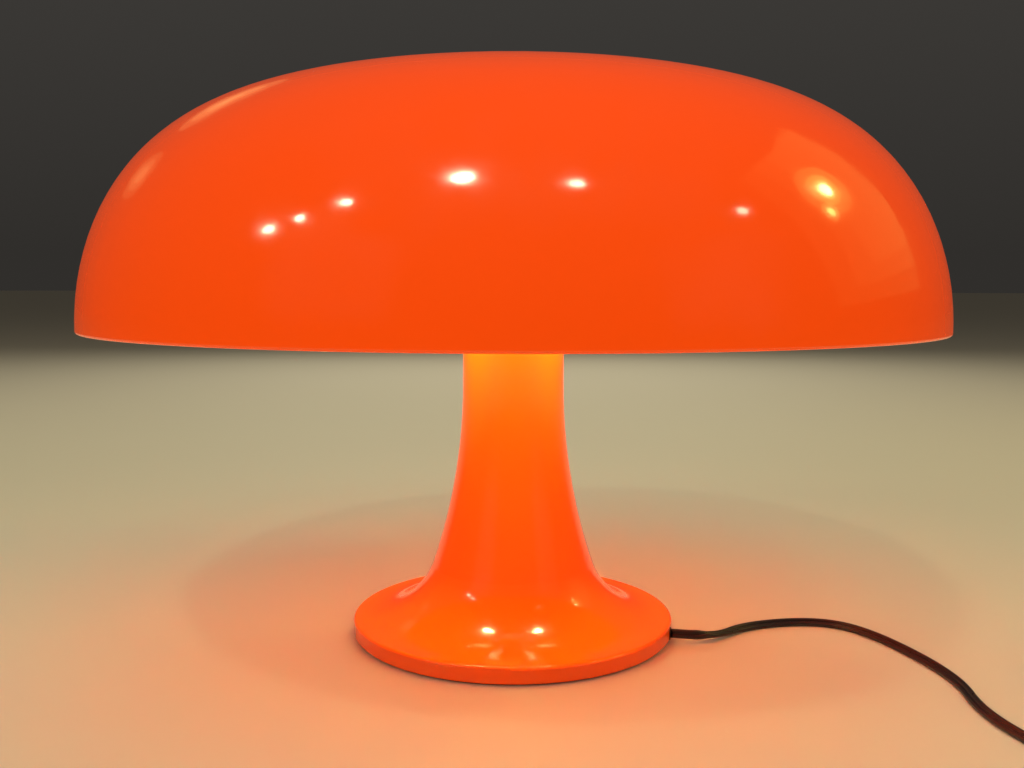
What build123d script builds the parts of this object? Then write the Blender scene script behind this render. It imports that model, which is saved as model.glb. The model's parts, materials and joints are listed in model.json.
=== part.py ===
from build123d import *
import math
import os

# Mushroom table lamp, in millimetres. The origin is the centre of the foot's
# underside on the table, +Z is up, and the cord leaves towards +X.

# ---- foot and stem, one trumpet-shaped moulding ----
foot_radius = 107.5
foot_height = 12.0  # top of the flat flange above the table
foot_edge_radius = 2.0
foot_fillet_radius = 50.0  # from the flange up into the flare
flare_radius = 380.0
flare_top = 170.0  # above this height the stem is a plain cylinder
stem_radius = 33.7
stem_top = 255.0
body_wall = 3.0
stem_web = 4.0  # web that closes the stem near its top
stem_web_drop = 5.0  # from the stem's upper edge down to the web

# ---- underside ----
pad_thickness = 1.2
pad_outer_radius = 104.0
pad_inner_radius = 90.0
plate_thickness = 1.4
plate_inset = 1.3  # the plate's edge behind the foot's wall
locating_ring_height = 1.8
locating_ring_width = 2.3
seat_clearance = 0.3
boss_circle_radius = 77.5
boss_diameter = 8.0
base_screw_diameter = 3.0
base_screw_length = 8.0
base_screw_head = 7.0
screw_head_height = 1.0
corner_angles = [45, 135, 225, 315]

# ---- ballast and the threaded tube that ties the lamp together ----
ballast_radius = 66.0
ballast_height = 15.0
ballast_chamfer = 3.0
nut_recess_radius = 14.0
nut_recess_depth = 7.0
rib_thickness = 3.0
rib_start_radius = 34.0
tube_diameter = 10.0
tube_wall = 1.5
tube_hole_clearance = 0.2
tube_foot = 0.6  # the tube's lower end above the base plate
tube_proud = 0.4  # the tube's upper end above its last nut
nut_across_flats = 17.0
nut_height = 5.0
washer_radius = 10.0
washer_thickness = 1.2

# ---- shade ----
shade_radius = 270.0
shade_rim_height = 205.3
shade_height = 154.7
shade_wall = 3.0
dome_power = 3.9  # higher gives a flatter crown and a squarer shoulder
shade_pad_radius = 65.0
shade_pad_thickness = 4.0  # crown thickness where the shade rests
skirt_wall = 2.5
skirt_height = 7.5

# ---- shade support ----
support_radius = 60.0
support_thickness = 2.0
support_edge_radius = 0.8
cushion_outer_radius = 58.0
cushion_inner_radius = 50.0
cushion_height = 6.2
cushion_edge_radius = 1.0
cushion_gap = 0.3  # between the cushion and the resting shade

# ---- lamp carrier and its four lampholders, on the diagonals ----
carrier_half_width = 24.0
carrier_sheet = 1.5
carrier_height = 50.0
holder_height = 29.0  # bulb axis above the stem's upper edge
nipple_radius = 5.0
nipple_back = 4.0  # the nipple reaches this far inside the carrier's wall
holder_flange_width = 1.5  # the flange beyond the holder's body
holder_flange_thickness = 3.5
holder_wall = 4.5
holder_length = 30.0
holder_floor = 10.0
shell_wall = 1.2
shell_length = 14.0
shell_inset = 1.0  # the screw shell's mouth behind the holder's
contact_radius = 3.5
contact_thickness = 1.2
holder_nut_radius = 8.0
holder_nut_thickness = 3.0

# ---- candle bulbs ----
cap_radius = 7.0
cap_clearance = 0.3
cap_tip_radius = 2.5
cap_tip_gap = 0.15
cap_tip_height = 1.0
cap_cone_height = 3.0
cap_length = 21.0
bulb_length = 76.0
bulb_radius = 17.5
glass_wall = 1.0
filament_rod = 1.6
filament_mount_radius = 2.2
filament_mount_length = 16.0
filament_length = 32.0
filament_splay = 4.5
filament_root = 2.0  # the rods start this far down inside the mount

# ---- wiring inside ----
terminal_length = 16.0
terminal_width = 20.0
terminal_height = 11.0
terminal_offset = 24.0
pole_offset = 5.5  # each pole of the terminal block from its middle
terminal_hole_radius = 1.5
lead_height = 5.4  # leads above the ballast's top
lead_bend_radius = 8.0
cord_inner_points = [(8.0, -16.0), (-10.0, -5.5)]  # round the threaded tube, seen from above
riser_diameter = 4.0
riser_offset = 17.0
riser_hole_clearance = 0.5
riser_straight = 14.0  # straight up from the terminal block
riser_slant = 52.0  # then this much height to reach its own line up the stem
riser_bend_radii = [30.0, 60.0]
switch_lead_diameter = 3.0
switch_lead_straight = 7.0  # straight out of the switch's back
switch_lead_bend_radius = 5.0
switch_lead_points = [(-3.0, 24.0), (-12.0, 5.5)]
holder_lead_diameter = 2.0
junction_radius = 21.0
junction_height = 7.0
junction_gap = 0.3
junction_lead_radius = 12.0
holder_lead_bend_radius = 4.0

# ---- push-button switch on the back of the foot ----
switch_azimuth = 90.0
switch_seat_angle = 33.1  # where on the fillet the pad sits, above horizontal
switch_pad_radius = 9.5
switch_pad_proud = 1.3
switch_pad_backing = 0.9  # the pad's inner face behind the foot's wall
switch_radius = 7.0
switch_depth = 18.0
neck_radius = 5.0
neck_height = 3.2
switch_nut_radius = 7.5
switch_nut_height = 2.2
button_radius = 3.5
button_clearance = 0.15
button_height = 3.2
button_travel = 2.5  # into the switch, which leaves room for it
button_flange_radius = 4.8
button_flange_thickness = 1.8
button_flange_gap = 0.3
switch_lip = 6.0  # depth of the lip that keeps the button in
switch_cavity_radius = 5.1
spring_pressed_length = 5.0
spring_outer_radius = 4.2
spring_inner_radius = 3.2
switch_nut_edge_radius = 0.8
button_edge_radius = 0.9

# ---- mains cord: flat two-core flex, drawn round with the same section area ----
cord_diameter = 4.7
cord_azimuth = -15.5
cord_exit_height = 6.0
cord_rest_gap = 0.1  # under the cord where it lies
grommet_wall = 1.45
grommet_flange_width = 12.0
grommet_flange_thickness = 1.5
grommet_flange_gap = 0.2  # under the foot's flange
grommet_proud = 0.4
clamp_radius = 84.0  # distance of the strain-relief clamp from the axis
clamp_length = 22.0
clamp_width = 6.0
clamp_roof = 1.25  # over the cord
clamp_screw_diameter = 2.5
clamp_screw_spacing = 15.0
clamp_screw_head = 5.0
clamp_screw_length = 5.0
notch_clearance = 1.65  # each side of the cord
cord_rise_radius = 60.0  # where the cord climbs through the ballast's notch

# Cord on the table, from the foot's wall to the coil; the third number is its lift off the table.
cord_points = [
    (131.0, -27.5, 1.65),
    (146.0, -13.2, 0.05),
    (163.5, -2.3, 0),
    (186.0, 5.6, 0),
    (209.5, 9.4, 0),
    (230.5, 1.4, 0),
    (245.0, -16.5, 0),
    (254.5, -40.0, 0),
    (264.5, -69.0, 0),
    (269.5, -101.0, 0),
    (266.0, -131.0, 0),
    (268.5, -153.0, 0),
]
cord_lead_out = 12.0  # straight out of the grommet
cord_lead_in = 24.0  # straight into the coil, past its own straight end

# Coil of the cord's spare length: two layers, spiralling in and out again.
coil_centre = (320.0, -203.0)
coil_outer_radius = 44.0
coil_turn_gap = 2.0
coil_turns = 3
coil_layer_gap = 0.6
coil_start_angle = 180.0

# Cord from the coil's top turn down to the table and up into the plug, with its lift as before.
tail_lead_out = 12.0  # straight off the coil
tail_points = [
    (361.5, -168.0, 1.25),
    (356.5, -152.5, 0.35),
    (351.0, -138.0, 2.15),
    (349.0, -124.5, 4.4),
]
plug_back = (349.0, -112.5)

# ---- two-pin plug ----
plug_length = 36.0
plug_width = 35.3
plug_height = 13.7
plug_neck_width = 14.0
plug_neck_length = 6.0
plug_shoulder = 16.0  # where the body reaches its full width
plug_edge_radius = 2.5
pin_diameter = 4.0
pin_length = 19.0
pin_spacing = 18.6
pin_tip_radius = 1.2

# ---- sizes and heights worked out from the values above ----
plate_top = pad_thickness + plate_thickness
ballast_top = plate_top + ballast_height
carrier_floor_top = stem_top + carrier_sheet
bulb_height = stem_top + holder_height
crown_height = shade_rim_height + shade_height
shade_seat = crown_height - shade_pad_thickness
cushion_top = shade_seat - cushion_gap
support_top = cushion_top - cushion_height
support_bottom = support_top - support_thickness
lead_level = ballast_top + lead_height
spring_length = spring_pressed_length + button_travel
switch_pad_depth = switch_pad_proud + body_wall + switch_pad_backing
holder_bore_radius = cap_radius + cap_clearance + shell_wall
holder_radius = holder_bore_radius + holder_wall
holder_flange_radius = holder_radius + holder_flange_width
cord_rest_height = cord_diameter / 2 + cord_rest_gap
grommet_width = cord_diameter + 2 * grommet_wall
grommet_flange_top = foot_height - body_wall - grommet_flange_gap
clamp_height = cord_exit_height + cord_diameter / 2 + clamp_roof - plate_top
notch_width = cord_diameter + 2 * notch_clearance
coil_pitch = cord_diameter + coil_turn_gap
coil_layer_height = cord_diameter + coil_layer_gap
# The grommet's inner flange lies on a chord of the foot's round wall.
grommet_seat = math.sqrt((foot_radius - body_wall) ** 2 - (grommet_flange_width / 2) ** 2)


def polar(radius, azimuth, height):
    angle = math.radians(azimuth)
    return Vector(radius * math.cos(angle), radius * math.sin(angle), height)


def disc(outer, inner, low, high):
    """Flat ring about the Z axis, or a plain disc when inner is 0."""
    ring = Pos(0, 0, (low + high) / 2) * Cylinder(outer, high - low)
    if inner > 0:
        ring -= Pos(0, 0, (low + high) / 2) * Cylinder(inner, high - low + 2)
    return ring


def turned(points):
    """Solid turned about Z from (radius, height) corners."""
    outline = Polyline(*[(r, 0, z) for r, z in points], close=True)
    return revolve(make_face(outline), Axis.Z)


def along(azimuth, height):
    """Location whose +Z points outwards along an azimuth, at a height."""
    return Pos(0, 0, height) * Rot(0, 0, azimuth) * Rot(0, 90, 0)


def hexagon_nut(low):
    nut = extrude(RegularPolygon(nut_across_flats / 2, 6, major_radius=False), nut_height)
    return Pos(0, 0, low) * nut - disc(tube_diameter / 2, 0, low - 1, low + nut_height + 1)


def round_sweep(path, diameter):
    section = Plane(origin=path @ 0, z_dir=path % 0) * Circle(diameter / 2)
    return sweep(section, path)


def laid_tube(points, diameter, radii):
    """Tube on straight runs joined by tangent arcs, one radius per corner."""
    return round_sweep(FilletPolyline(*points, radius=radii), diameter)


# ---- foot and stem ----
def flank_centres():
    """Centres of the flare's arc and of the fillet's arc, which touches it."""
    flare_centre = Vector(stem_radius + flare_radius, 0, flare_top)
    fillet_level = foot_height + foot_fillet_radius
    reach = math.sqrt((flare_radius - foot_fillet_radius) ** 2 - (flare_top - fillet_level) ** 2)
    return flare_centre, Vector(flare_centre.X - reach, 0, fillet_level)


def body_outline(inset):
    """Half section of the moulding, its skin moved inwards by inset."""
    top = foot_height - inset
    outer = foot_radius - inset
    edge = max(foot_edge_radius - inset, 0)
    fillet_reach = foot_fillet_radius + inset
    flare_reach = flare_radius + inset
    flare_centre, fillet_centre = flank_centres()
    to_fillet = (fillet_centre - flare_centre).normalized()
    join = flare_centre + to_fillet * flare_reach
    flare_middle = (Vector(-1, 0, 0) + to_fillet).normalized()
    fillet_middle = (Vector(0, 0, -1) + to_fillet).normalized()
    stem = stem_radius - inset
    corner = [Line((outer, 0, plate_top), (outer, 0, top - edge))]
    if edge > 0:
        swing = edge * math.sqrt(0.5)
        middle = (outer - edge + swing, 0, top - edge + swing)
        corner.append(ThreePointArc((outer, 0, top - edge), middle, (outer - edge, 0, top)))
    return corner + [
        Line((outer - edge, 0, top), (fillet_centre.X, 0, top)),
        ThreePointArc((fillet_centre.X, 0, top), fillet_centre + fillet_middle * fillet_reach, join),
        ThreePointArc(join, flare_centre + flare_middle * flare_reach, (stem, 0, flare_top)),
        Line((stem, 0, flare_top), (stem, 0, stem_top)),
    ]


def body_core(inset):
    """Solid bounded by the moved skin, filled to the axis."""
    rest = Polyline(
        (stem_radius - inset, 0, stem_top),
        (0, 0, stem_top),
        (0, 0, plate_top),
        (foot_radius - inset, 0, plate_top),
    )
    return revolve(make_face(body_outline(inset) + rest.edges()), Axis.Z)


def fillet_seat():
    """Point on the fillet under the switch and the normal there, in the XZ plane."""
    centre = flank_centres()[1]
    angle = math.radians(switch_seat_angle)
    normal = Vector(math.cos(angle), 0, math.sin(angle))
    return centre - normal * foot_fillet_radius, normal


def switch_place():
    """Location of the switch: +Z out of the foot, origin on the pad's face."""
    seat, normal = fillet_seat()
    return Rot(0, 0, switch_azimuth) * Location(
        Plane(origin=seat + normal * switch_pad_proud, x_dir=(0, 1, 0), z_dir=normal)
    )


def cord_notch(inner, outer):
    """Round-roofed slot for the cord through the foot's wall, on the base plate."""
    stand = cord_exit_height - plate_top
    centred = (Align.MIN, Align.CENTER, Align.MIN)
    block = Pos(inner, 0, plate_top) * Box(outer - inner, grommet_width, stand, align=centred)
    roof = Pos((outer + inner) / 2, 0, cord_exit_height) * Rot(0, 90, 0) * Cylinder(
        grommet_width / 2, outer - inner
    )
    above = Pos(inner, 0, cord_exit_height) * Box(
        outer - inner, grommet_width, grommet_width / 2, align=centred
    )
    return Rot(0, 0, cord_azimuth) * (block + (roof & above))


def lamp_body():
    web_top = stem_top - stem_web_drop
    cavity = body_core(body_wall) - disc(stem_radius, 0, web_top - stem_web, web_top)
    # The ballast hangs against four ribs, and the base screws into four bosses.
    inside = body_core(body_wall / 2)
    fittings = []
    for angle in corner_angles:
        rib = Box(
            ballast_radius - rib_start_radius,
            rib_thickness,
            flare_top - ballast_top,
            align=(Align.MIN, Align.CENTER, Align.MIN),
        )
        rib = Rot(0, 0, angle) * Pos(rib_start_radius, 0, ballast_top) * rib
        boss = Cylinder(boss_diameter / 2, stem_top, align=(Align.CENTER, Align.CENTER, Align.MIN))
        boss -= Cylinder(base_screw_diameter / 2, 2 * (base_screw_length - plate_thickness))
        boss = Rot(0, 0, angle) * Pos(boss_circle_radius, 0, plate_top) * boss
        fittings += [rib & inside, boss & inside]
    body = body_core(0) - cavity
    body = body + fittings
    place = switch_place()
    pad = Pos(0, 0, -switch_pad_depth / 2) * Cylinder(switch_pad_radius, switch_pad_depth)
    neck_hole = Pos(0, 0, -switch_pad_depth / 2) * Cylinder(neck_radius, switch_pad_depth + 2)
    body += place * pad
    body -= place * neck_hole
    tube_hole = tube_diameter / 2 + tube_hole_clearance
    body -= disc(tube_hole, 0, web_top - stem_web - 1, web_top + 1)
    body -= Pos(-riser_offset, 0, web_top) * Cylinder(
        riser_diameter / 2 + riser_hole_clearance, 2 * stem_web + 2
    )
    return body - cord_notch(grommet_seat, foot_radius + body_wall)


# ---- underside ----
def base_plate():
    plate = disc(foot_radius - plate_inset, 0, pad_thickness, plate_top)
    ring_outer = foot_radius - body_wall - seat_clearance
    ring = disc(ring_outer, ring_outer - locating_ring_width, plate_top, plate_top + locating_ring_height)
    gap = Box(foot_radius, grommet_flange_width + 2 * seat_clearance, 4 * locating_ring_height,
              align=(Align.MIN, Align.CENTER, Align.CENTER))
    plate += ring - Rot(0, 0, cord_azimuth) * Pos(0, 0, plate_top) * gap
    for angle in corner_angles:
        hole = Cylinder(base_screw_diameter / 2, 4 * plate_thickness)
        plate -= Rot(0, 0, angle) * Pos(boss_circle_radius, 0, plate_top) * hole
    for side in (-1, 1):
        hole = Cylinder(clamp_screw_diameter / 2, 4 * plate_thickness)
        hole = Pos(clamp_radius, side * clamp_screw_spacing / 2, plate_top) * hole
        plate -= Rot(0, 0, cord_azimuth) * hole
    return plate


def pan_screw(diameter, length, head_diameter):
    """Screw pointing up, its head just under the origin."""
    head = Pos(0, 0, -screw_head_height / 2) * Cylinder(head_diameter / 2, screw_head_height)
    return head + Pos(0, 0, length / 2) * Cylinder(diameter / 2, length)


def base_screws():
    screw = pan_screw(base_screw_diameter, base_screw_length, base_screw_head)
    return [Rot(0, 0, a) * Pos(boss_circle_radius, 0, pad_thickness) * screw for a in corner_angles]


def clamp_screws():
    screw = pan_screw(clamp_screw_diameter, clamp_screw_length, clamp_screw_head)
    turn = Rot(0, 0, cord_azimuth)
    half = clamp_screw_spacing / 2
    return [turn * Pos(clamp_radius, side * half, pad_thickness) * screw for side in (-1, 1)]


def foot_pad():
    return disc(pad_outer_radius, pad_inner_radius, 0, pad_thickness)


def ballast():
    weight = turned(
        [
            (tube_diameter / 2 + tube_hole_clearance, plate_top + nut_recess_depth),
            (nut_recess_radius, plate_top + nut_recess_depth),
            (nut_recess_radius, plate_top),
            (ballast_radius, plate_top),
            (ballast_radius, ballast_top - ballast_chamfer),
            (ballast_radius - ballast_chamfer, ballast_top),
            (tube_diameter / 2 + tube_hole_clearance, ballast_top),
        ]
    )
    notch_inside = cord_rise_radius - notch_width / 2
    from_inside = (Align.MIN, Align.CENTER, Align.CENTER)
    slot = Box(ballast_radius, notch_width, 3 * ballast_height, align=from_inside)
    return weight - Rot(0, 0, cord_azimuth) * Pos(notch_inside, 0, ballast_top) * slot


# ---- threaded tube, nuts and washers ----
nut_levels = [
    plate_top + nut_recess_depth - washer_thickness - nut_height,
    carrier_floor_top + washer_thickness,
    support_bottom - washer_thickness - nut_height,
    support_top,
]
washer_levels = [
    plate_top + nut_recess_depth - washer_thickness,
    carrier_floor_top,
    support_bottom - washer_thickness,
]
tube_top = support_top + nut_height + tube_proud


def centre_tube():
    return disc(tube_diameter / 2, tube_diameter / 2 - tube_wall, plate_top + tube_foot, tube_top)


def tube_nuts():
    return [hexagon_nut(level) for level in nut_levels]


def tube_washers():
    return [disc(washer_radius, tube_diameter / 2, low, low + washer_thickness) for low in washer_levels]


# ---- shade ----
def dome_point(share):
    """Point on the dome's outer skin and its outward normal; share 0 is the rim, 1 the crown."""
    base = shade_rim_height + shade_wall / 2
    rise = crown_height - base
    angle = math.pi / 2 * share * (2 - share)
    radius = shade_radius * round(math.cos(angle), 9) ** (2 / dome_power)
    height = rise * math.sin(angle)
    slope = dome_power * (radius / shade_radius) ** (dome_power - 1) / shade_radius
    normal = Vector(slope, 0, 2 * height / rise**2).normalized()
    return Vector(radius, 0, base + height), normal


def dome_curve(inset, last_share=1.0):
    """Curve at a depth inside the dome's skin, from the rim to a share of the way up."""
    steps = 12
    states = [dome_point(last_share * i / steps) for i in range(steps + 1)]
    last_normal = states[-1][1]
    end_way = (-last_normal.Z, 0, last_normal.X)
    return Spline(*[p - n * inset for p, n in states], tangents=[(0, 0, 1), end_way])


def share_at_radius(radius, inset):
    """How far up the dome its inner wall reaches a radius, found by halving."""
    low, high = 0.0, 1.0
    for _ in range(50):
        middle = (low + high) / 2
        point, normal = dome_point(middle)
        if (point - normal * inset).X > radius:
            low = middle
        else:
            high = middle
    return low


def shade_shell():
    outer = dome_curve(0)
    inner = dome_curve(shade_wall, share_at_radius(shade_pad_radius, shade_wall))
    rim_bottom = (shade_radius - shade_wall / 2, 0, shade_rim_height)
    skirt_low = shade_seat - skirt_height
    hub = Polyline(
        outer @ 1,
        (0, 0, shade_seat),
        (shade_pad_radius - skirt_wall, 0, shade_seat),
        (shade_pad_radius - skirt_wall, 0, skirt_low),
        (shade_pad_radius, 0, skirt_low),
        inner @ 1,
    )
    rim = ThreePointArc(inner @ 0, rim_bottom, outer @ 0)
    return revolve(make_face([outer, inner, rim] + hub.edges()), Axis.Z)


# ---- shade support ----
def shade_support():
    plate = disc(support_radius, tube_diameter / 2, support_bottom, support_top)
    rim = plate.edges().filter_by(GeomType.CIRCLE).sort_by(SortBy.RADIUS)[-2:]
    return fillet(rim, support_edge_radius)


def support_cushion():
    ring = disc(cushion_outer_radius, cushion_inner_radius, support_top, cushion_top)
    upper = ring.edges().filter_by(GeomType.CIRCLE).group_by(Axis.Z)[-1]
    return fillet(upper, cushion_edge_radius)


# ---- lamp carrier and lampholders ----
def lamp_carrier():
    low = stem_top
    height = carrier_height
    width = 2 * carrier_half_width
    hollow = width - 2 * carrier_sheet
    box = Pos(0, 0, low + height / 2) * Box(width, width, height)
    box -= Pos(0, 0, carrier_floor_top + height / 2) * Box(hollow, hollow, height)
    carrier = Rot(0, 0, corner_angles[0]) * box + disc(stem_radius, 0, low, carrier_floor_top)
    for angle in corner_angles:
        hole = Cylinder(nipple_radius, 2 * carrier_sheet)
        carrier -= along(angle, bulb_height) * Pos(0, 0, carrier_half_width) * hole
    carrier -= disc(tube_diameter / 2 + tube_hole_clearance, 0, low - 1, carrier_floor_top + 1)
    carrier -= Pos(-riser_offset, 0, low) * Cylinder(
        riser_diameter / 2 + riser_hole_clearance, 4 * carrier_sheet
    )
    return carrier


holder_back = carrier_half_width - carrier_sheet - nipple_back
holder_front = carrier_half_width + holder_length
holder_seat = carrier_half_width + holder_floor
contact_front = holder_seat + contact_thickness
cap_back = contact_front + cap_tip_gap
cap_front = cap_back + cap_length


def lampholder():
    holder = turned(
        [
            (0, holder_back),
            (nipple_radius, holder_back),
            (nipple_radius, carrier_half_width),
            (holder_flange_radius, carrier_half_width),
            (holder_flange_radius, carrier_half_width + holder_flange_thickness),
            (holder_radius, carrier_half_width + holder_flange_thickness),
            (holder_radius, holder_front),
            (holder_bore_radius, holder_front),
            (holder_bore_radius, holder_seat),
            (0, holder_seat),
        ]
    )
    return holder


def holder_nuts():
    front = carrier_half_width - carrier_sheet
    nut = disc(holder_nut_radius, nipple_radius, front - holder_nut_thickness, front)
    return [along(angle, bulb_height) * nut for angle in corner_angles]


def holder_shell():
    high = holder_front - shell_inset
    return disc(holder_bore_radius, holder_bore_radius - shell_wall, high - shell_length, high)


def holder_contact():
    return disc(contact_radius, 0, holder_seat, contact_front)


def bulb_cap():
    return turned(
        [
            (0, cap_back),
            (cap_tip_radius, cap_back),
            (cap_tip_radius, cap_back + cap_tip_height),
            (cap_radius, cap_back + cap_tip_height + cap_cone_height),
            (cap_radius, cap_front),
            (0, cap_front),
        ]
    )


def bulb_skin(inset):
    """Candle-shaped curve from the cap to the bulb's tip."""
    full = bulb_radius - cap_radius
    shape = [(0, 0), (0.08, 0.24), (0.25, 0.74), (0.45, 1.0), (0.65, 0.82), (0.83, 0.31)]
    points = [(cap_radius + full * swell - inset, 0, cap_front + bulb_length * share)
              for share, swell in shape]
    points += [(0, 0, cap_front + bulb_length - inset)]
    return Spline(*points, tangents=[(0.45, 0, 1), (-1, 0, 0.25)])


def bulb_glass():
    outer = revolve(
        make_face([bulb_skin(0), Line((0, 0, cap_front + bulb_length), (0, 0, cap_front)),
                   Line((0, 0, cap_front), (cap_radius, 0, cap_front))]), Axis.Z)
    tip = cap_front + bulb_length - glass_wall
    inner = revolve(
        make_face([bulb_skin(glass_wall), Line((0, 0, tip), (0, 0, cap_front)),
                   Line((0, 0, cap_front), (cap_radius - glass_wall, 0, cap_front))]), Axis.Z)
    return outer - inner


def bulb_filament():
    """Glass mount with four slim light rods standing on it."""
    mount_top = cap_front + filament_mount_length
    mount = disc(filament_mount_radius, 0, cap_front, mount_top)
    rod = Cylinder(filament_rod / 2, filament_length, align=(Align.CENTER, Align.CENTER, Align.MIN))
    lean = math.degrees(math.atan2(filament_splay, filament_length))
    foot = filament_mount_radius - filament_rod / 2
    rod = Pos(foot, 0, mount_top - filament_root) * Rot(0, lean, 0) * rod
    return mount + [Rot(0, 0, azimuth) * rod for azimuth in (0, 90, 180, 270)]


# ---- wiring ----
def terminal_block():
    placed = (Align.MAX, Align.CENTER, Align.MIN)
    block = Box(terminal_length, terminal_width, terminal_height, align=placed)
    block = Pos(-terminal_offset, 0, ballast_top) * block
    middle = -terminal_offset - terminal_length / 2
    for side in (-1, 1):
        hole = Cylinder(terminal_hole_radius, terminal_height)
        block -= Pos(middle, side * pole_offset, ballast_top + terminal_height) * hole
    return block


def cord_inner():
    face = foot_radius + grommet_proud
    points = [
        polar(face, cord_azimuth, cord_exit_height),
        polar(cord_rise_radius, cord_azimuth, cord_exit_height),
        polar(cord_rise_radius, cord_azimuth, lead_level),
    ]
    points += [Vector(x, y, lead_level) for x, y in cord_inner_points]
    points += [Vector(-terminal_offset, -pole_offset, lead_level)]
    return laid_tube(points, cord_diameter, [lead_bend_radius] * (len(points) - 2))


def switch_lead():
    place = switch_place()
    back = (place * Pos(0, 0, -switch_depth)).position
    below = (place * Pos(0, 0, -switch_depth - switch_lead_straight)).position
    points = [back, below] + [Vector(x, y, below.Z) for x, y in switch_lead_points]
    points += [Vector(-terminal_offset, pole_offset, below.Z)]
    return laid_tube(points, switch_lead_diameter, [switch_lead_bend_radius] * (len(points) - 2))


def riser_lead():
    start_x = -terminal_offset - terminal_length / 2
    start_z = ballast_top + terminal_height
    points = [
        Vector(start_x, 0, start_z),
        Vector(start_x, 0, start_z + riser_straight),
        Vector(-riser_offset, 0, start_z + riser_straight + riser_slant),
        Vector(-riser_offset, 0, junction_low),
    ]
    return laid_tube(points, riser_diameter, riser_bend_radii)


junction_low = nut_levels[1] + nut_height + junction_gap


def junction_block():
    return disc(junction_radius, tube_diameter / 2, junction_low, junction_low + junction_height)


def holder_lead(azimuth):
    points = [
        polar(junction_lead_radius, azimuth, junction_low + junction_height),
        polar(junction_lead_radius, azimuth, bulb_height),
        polar(holder_back, azimuth, bulb_height),
    ]
    return laid_tube(points, holder_lead_diameter, [holder_lead_bend_radius])


# ---- switch ----
def switch_body():
    base = Pos(0, 0, -(switch_depth + switch_pad_depth) / 2) * Cylinder(
        switch_radius, switch_depth - switch_pad_depth
    )
    neck = Pos(0, 0, (neck_height - switch_pad_depth) / 2) * Cylinder(
        neck_radius, neck_height + switch_pad_depth
    )
    cavity_low = -switch_lip - spring_length - button_flange_thickness - button_flange_gap
    cavity = disc(switch_cavity_radius, 0, cavity_low, -switch_lip)
    bore = disc(button_radius + button_clearance, 0, -switch_lip - 1, neck_height + 1)
    return switch_place() * (base + neck - cavity - bore)


def switch_nut():
    nut = disc(switch_nut_radius, neck_radius, 0, switch_nut_height)
    upper = nut.edges().filter_by(GeomType.CIRCLE).group_by(Axis.Z)[-1].sort_by(SortBy.RADIUS)[-1:]
    return switch_place() * fillet(upper, switch_nut_edge_radius)


def switch_button():
    top = neck_height + button_height
    flange_top = -switch_lip - button_flange_gap
    stem = disc(button_radius, 0, flange_top - button_flange_thickness, top)
    upper = stem.edges().filter_by(GeomType.CIRCLE).group_by(Axis.Z)[-1]
    stem = fillet(upper, button_edge_radius)
    flange = disc(button_flange_radius, 0, flange_top - button_flange_thickness, flange_top)
    return switch_place() * (stem + flange)


def switch_spring():
    top = -switch_lip - button_flange_gap - button_flange_thickness
    return switch_place() * disc(spring_outer_radius, spring_inner_radius, top - spring_length, top)


# ---- cord entry ----
def cord_grommet():
    flange = Box(
        grommet_flange_thickness,
        grommet_flange_width,
        grommet_flange_top - plate_top,
        align=(Align.MAX, Align.CENTER, Align.MIN),
    )
    flange = Rot(0, 0, cord_azimuth) * Pos(grommet_seat, 0, plate_top) * flange
    grommet = cord_notch(grommet_seat, foot_radius + grommet_proud) + flange
    bore = Cylinder(cord_diameter / 2, 4 * body_wall)
    return grommet - along(cord_azimuth, cord_exit_height) * Pos(0, 0, foot_radius) * bore


def cord_clamp():
    saddle = Box(clamp_width, clamp_length, clamp_height, align=(Align.CENTER, Align.CENTER, Align.MIN))
    saddle = Pos(clamp_radius, 0, plate_top) * saddle
    tunnel = Rot(0, 90, 0) * Cylinder(cord_diameter / 2, 2 * clamp_width)
    saddle -= Pos(clamp_radius, 0, cord_exit_height) * tunnel
    for side in (-1, 1):
        hole = Cylinder(clamp_screw_diameter / 2, 2 * (clamp_screw_length - plate_thickness))
        saddle -= Pos(clamp_radius, side * clamp_screw_spacing / 2, plate_top) * hole
    return Rot(0, 0, cord_azimuth) * saddle


# ---- cord ----
def route_radii(points):
    """Largest tangent arcs that the runs allow, one for each inner point."""
    radii = []
    for before, here, after in zip(points, points[1:], points[2:]):
        run_in, run_out = here - before, after - here
        turn = math.radians(run_in.get_angle(run_out))
        radii.append(0.45 * min(run_in.length, run_out.length) / math.tan(turn / 2))
    return radii


def coil_state(turn):
    """Point and unit tangent on the coil's centre line, turn counted in revolutions."""
    slope = coil_pitch / (2 * math.pi)
    inner = coil_outer_radius - coil_pitch * coil_turns
    angle = 2 * math.pi * turn
    climb_start = 2 * math.pi * coil_turns
    height, rise = cord_rest_height, 0.0
    if angle <= climb_start:
        radius, widening = coil_outer_radius - slope * angle, -slope
    elif angle <= climb_start + math.pi:
        past = angle - climb_start
        radius = inner - slope * past + slope * past**2 / math.pi
        widening = -slope + 2 * slope * past / math.pi
        height += coil_layer_height * (past / math.pi - math.sin(2 * past) / (2 * math.pi))
        rise = coil_layer_height / math.pi * (1 - math.cos(2 * past))
    else:
        past = angle - climb_start - math.pi
        radius, widening = inner + slope * past, slope
        height += coil_layer_height
    around = angle + math.radians(coil_start_angle)
    out = Vector(math.cos(around), math.sin(around), 0)
    side = Vector(-math.sin(around), math.cos(around), 0)
    point = Vector(coil_centre[0], coil_centre[1], height) + out * radius
    return point, (side * radius + out * widening + Vector(0, 0, rise)).normalized()


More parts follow.
